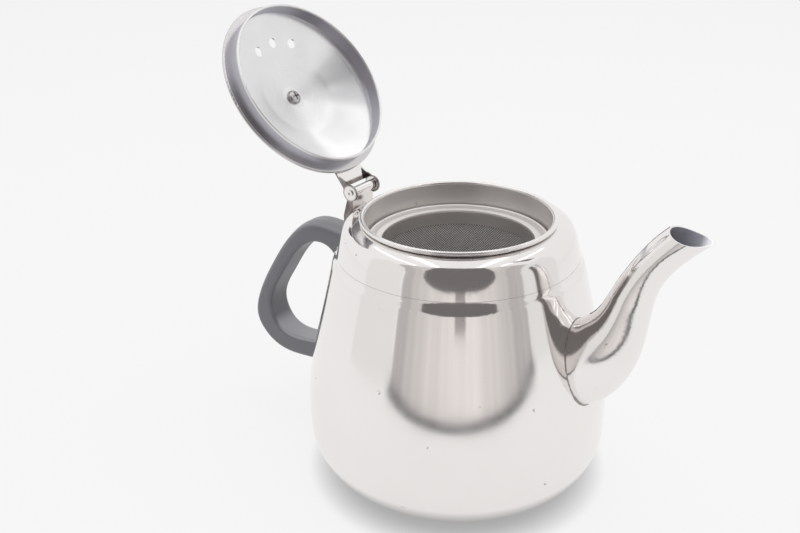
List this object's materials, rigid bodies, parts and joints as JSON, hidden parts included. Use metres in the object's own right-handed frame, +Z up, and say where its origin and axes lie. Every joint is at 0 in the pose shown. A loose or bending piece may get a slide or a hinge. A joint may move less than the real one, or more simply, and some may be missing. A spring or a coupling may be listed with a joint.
{
  "type": "teapot",
  "caption": "Polished steel teapot with a tapering belly, curved spout, hinged lid standing open, strainer basket in the mouth and a dark grey loop handle",
  "frame": {"origin": "centre of the flat underside, on the pot's axis", "axes": "+Z up, +X towards the spout, -X towards the handle and the lid hinge, +Y to the left of the spout"},
  "size_m": [0.2662, 0.1553, 0.2333],
  "materials": {
    "body_steel": "mirror polished stainless sheet",
    "collar_steel": "polished stainless, turned",
    "spout_steel": "mirror polished stainless sheet",
    "lid_steel": "stainless, brushed in circles",
    "hinge_steel": "polished stainless sheet",
    "strainer_steel": "bright stainless sheet",
    "strainer_mesh": "fine woven stainless wire",
    "screw_steel": "plain stainless screw",
    "lug_steel": "plain stainless strip",
    "insert_brass": "turned brass",
    "handle_plastic": "satin dark grey moulding"
  },
  "bodies": {
    "pot": {"body_shell": "body_steel", "shoulder_shell": "body_steel", "mouth_collar": "collar_steel", "spout_half_left": "spout_steel", "spout_half_right": "spout_steel", "hinge_bracket": "hinge_steel", "handle_grip": "handle_plastic", "handle_lug_upper": "lug_steel", "handle_lug_lower": "lug_steel", "handle_screw_upper": "screw_steel", "handle_screw_lower": "screw_steel"},
    "strainer": {"strainer_rim": "strainer_steel", "strainer_wall": "strainer_mesh", "strainer_hoop": "strainer_steel", "strainer_net": "strainer_mesh"},
    "lid": {"lid_cover": "lid_steel", "lid_skirt": "lid_steel", "lid_leaf": "hinge_steel", "lid_knob": "handle_plastic", "knob_insert": "insert_brass", "knob_screw": "screw_steel", "hinge_pin": "hinge_steel"}
  },
  "joints": [
    {"name": "lid_hinge", "type": "hinge", "parent": "pot", "child": "lid", "pos_m": [-0.0605, 0, 0.144], "axis": [0, 1, 0], "range_deg": [0, 127]},
    {"name": "strainer_turn", "type": "hinge", "parent": "pot", "child": "strainer", "pos_m": [0, 0, 0.13], "axis": [0, 0, 1], "continuous": true}
  ]
}
